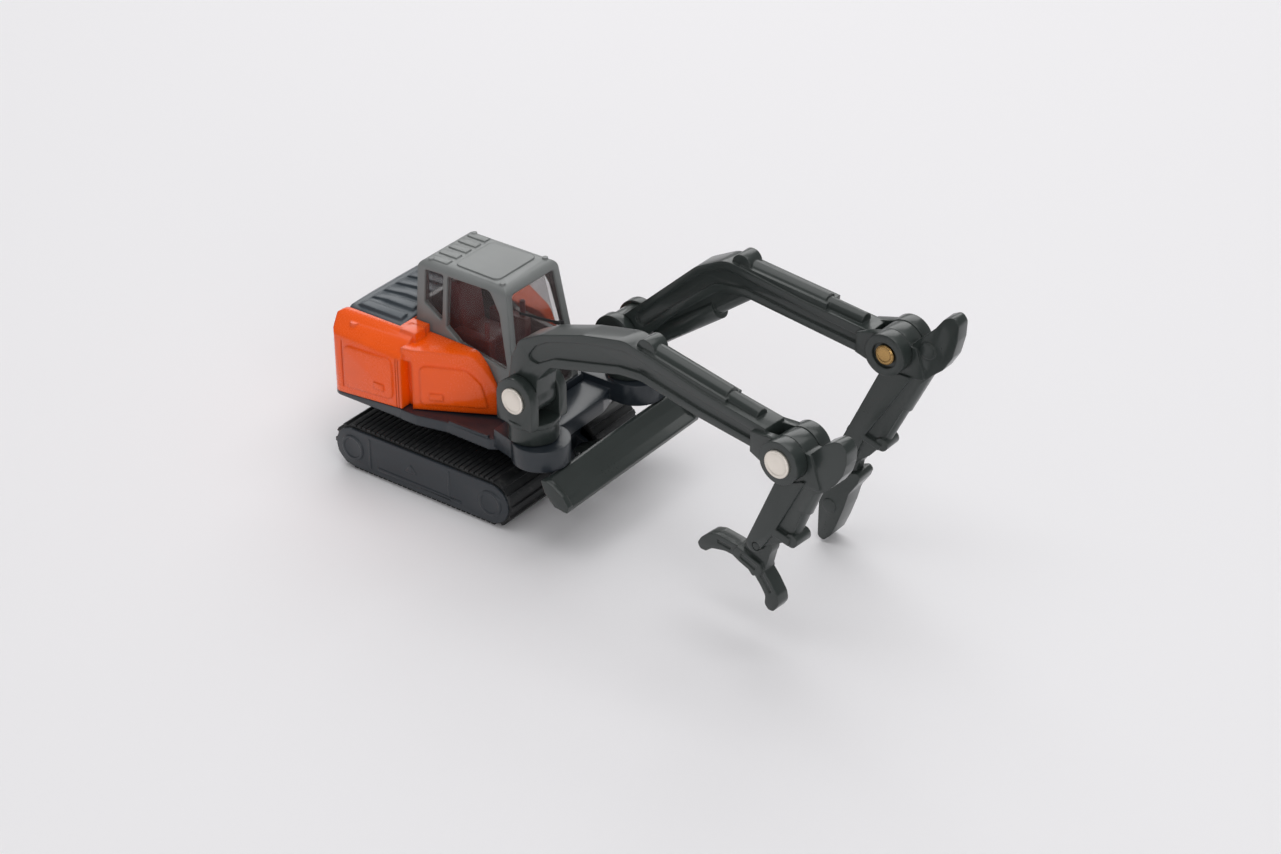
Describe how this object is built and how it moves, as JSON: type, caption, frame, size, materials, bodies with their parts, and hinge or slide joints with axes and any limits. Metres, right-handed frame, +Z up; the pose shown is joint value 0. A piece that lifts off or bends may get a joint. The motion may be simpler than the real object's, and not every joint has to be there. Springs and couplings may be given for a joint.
{
  "type": "toy excavator",
  "caption": "Pocket-size crawler excavator toy: slewing house with cab, dozer blade and paired swinging, jointed front arms carrying a gripper and a cutter.",
  "frame": {"origin": "on the slew axis, at ground level under the belly", "axes": "+X forward towards the blade and arms, +Y to the machine's left, +Z up"},
  "size_m": [0.0801, 0.0304, 0.0362],
  "materials": {
    "dark_casting": "semi-gloss enamel",
    "orange_enamel": "gloss enamel",
    "arm_plastic": "satin moulded plastic",
    "hood_plastic": "satin moulded plastic",
    "cab_plastic": "satin moulded plastic",
    "window": "clear moulded",
    "cabin_plastic": "satin moulded plastic",
    "belt_rubber": "matte",
    "roller_plastic": "matte",
    "rivet_metal": "satin nickel",
    "steel": "satin",
    "black_trim": "satin",
    "pin_plastic": "satin"
  },
  "bodies": {
    "chassis": {"chassis": "dark_casting", "right_side_frame": "dark_casting", "left_side_frame": "dark_casting", "right_belt": "belt_rubber", "left_belt": "belt_rubber", "slew_rivet": "steel", "blade_pins": "steel"},
    "front_axle": {"front_rollers": "roller_plastic"},
    "rear_axle": {"rear_rollers": "roller_plastic"},
    "blade": {"dozer_blade": "arm_plastic"},
    "house": {"upper_base": "dark_casting", "base_screws": "steel", "body_shell": "orange_enamel", "engine_hood": "hood_plastic", "cab_frame": "cab_plastic", "cab_glass": "window", "cab_seat": "cabin_plastic", "wiper": "black_trim", "swing_pins": "steel"},
    "right_foot": {"right_post": "arm_plastic", "right_foot_rivet": "rivet_metal"},
    "right_boom": {"right_boom": "arm_plastic", "right_elbow_rivet": "rivet_metal"},
    "right_arm": {"right_arm": "arm_plastic", "right_wrist_pin": "pin_plastic"},
    "gripper": {"gripper": "arm_plastic"},
    "left_foot": {"left_post": "arm_plastic", "left_foot_rivet": "rivet_metal"},
    "left_boom": {"left_boom": "arm_plastic", "left_elbow_rivet": "rivet_metal"},
    "left_arm": {"left_arm": "arm_plastic", "left_wrist_pin": "pin_plastic"},
    "cutter": {"cutter": "arm_plastic"}
  },
  "joints": [
    {"name": "slew", "type": "hinge", "parent": "chassis", "child": "house", "pos_m": [0, 0, 0.0083], "axis": [0, 0, 1], "continuous": true},
    {"name": "front_roll", "type": "hinge", "parent": "chassis", "child": "front_axle", "pos_m": [0.008, 0, 0.00155], "axis": [0, 1, 0], "continuous": true},
    {"name": "rear_roll", "type": "hinge", "parent": "chassis", "child": "rear_axle", "pos_m": [-0.008, 0, 0.00155], "axis": [0, 1, 0], "continuous": true},
    {"name": "blade_lift", "type": "hinge", "parent": "chassis", "child": "blade", "pos_m": [0.0129, 0, 0.0032], "axis": [0, -1, 0], "range_deg": [-32, 0]},
    {"name": "right_swing", "type": "hinge", "parent": "house", "child": "right_foot", "pos_m": [0.0165, -0.0098, 0.013], "axis": [0, 0, 1], "range_deg": [-20, 11]},
    {"name": "right_lift", "type": "hinge", "parent": "right_foot", "child": "right_boom", "pos_m": [0.01511, -0.00968, 0.0189], "axis": [-0.0872, -0.9962, 0], "range_deg": [-20, 35]},
    {"name": "right_elbow", "type": "hinge", "parent": "right_boom", "child": "right_arm", "pos_m": [0.05517, -0.01318, 0.0265], "axis": [-0.0872, -0.9962, 0], "range_deg": [-26, 65]},
    {"name": "right_wrist", "type": "hinge", "parent": "right_arm", "child": "gripper", "pos_m": [0.05107, -0.01282, 0.01301], "axis": [-0.0872, -0.9962, 0], "range_deg": [-15, 15]},
    {"name": "left_swing", "type": "hinge", "parent": "house", "child": "left_foot", "pos_m": [0.0165, 0.0098, 0.013], "axis": [0, 0, 1], "range_deg": [-5, 24]},
    {"name": "left_lift", "type": "hinge", "parent": "left_foot", "child": "left_boom", "pos_m": [0.0151, 0.00982, 0.0189], "axis": [-0.0175, -0.9998, 0], "range_deg": [-20, 35]},
    {"name": "left_elbow", "type": "hinge", "parent": "left_boom", "child": "left_arm", "pos_m": [0.05455, 0.00914, 0.0298], "axis": [-0.0175, -0.9998, 0], "range_deg": [-26, 60]},
    {"name": "left_wrist", "type": "hinge", "parent": "left_arm", "child": "cutter", "pos_m": [0.04901, 0.00923, 0.01341], "axis": [-0.0175, -0.9998, 0], "range_deg": [-15, 15]}
  ]
}
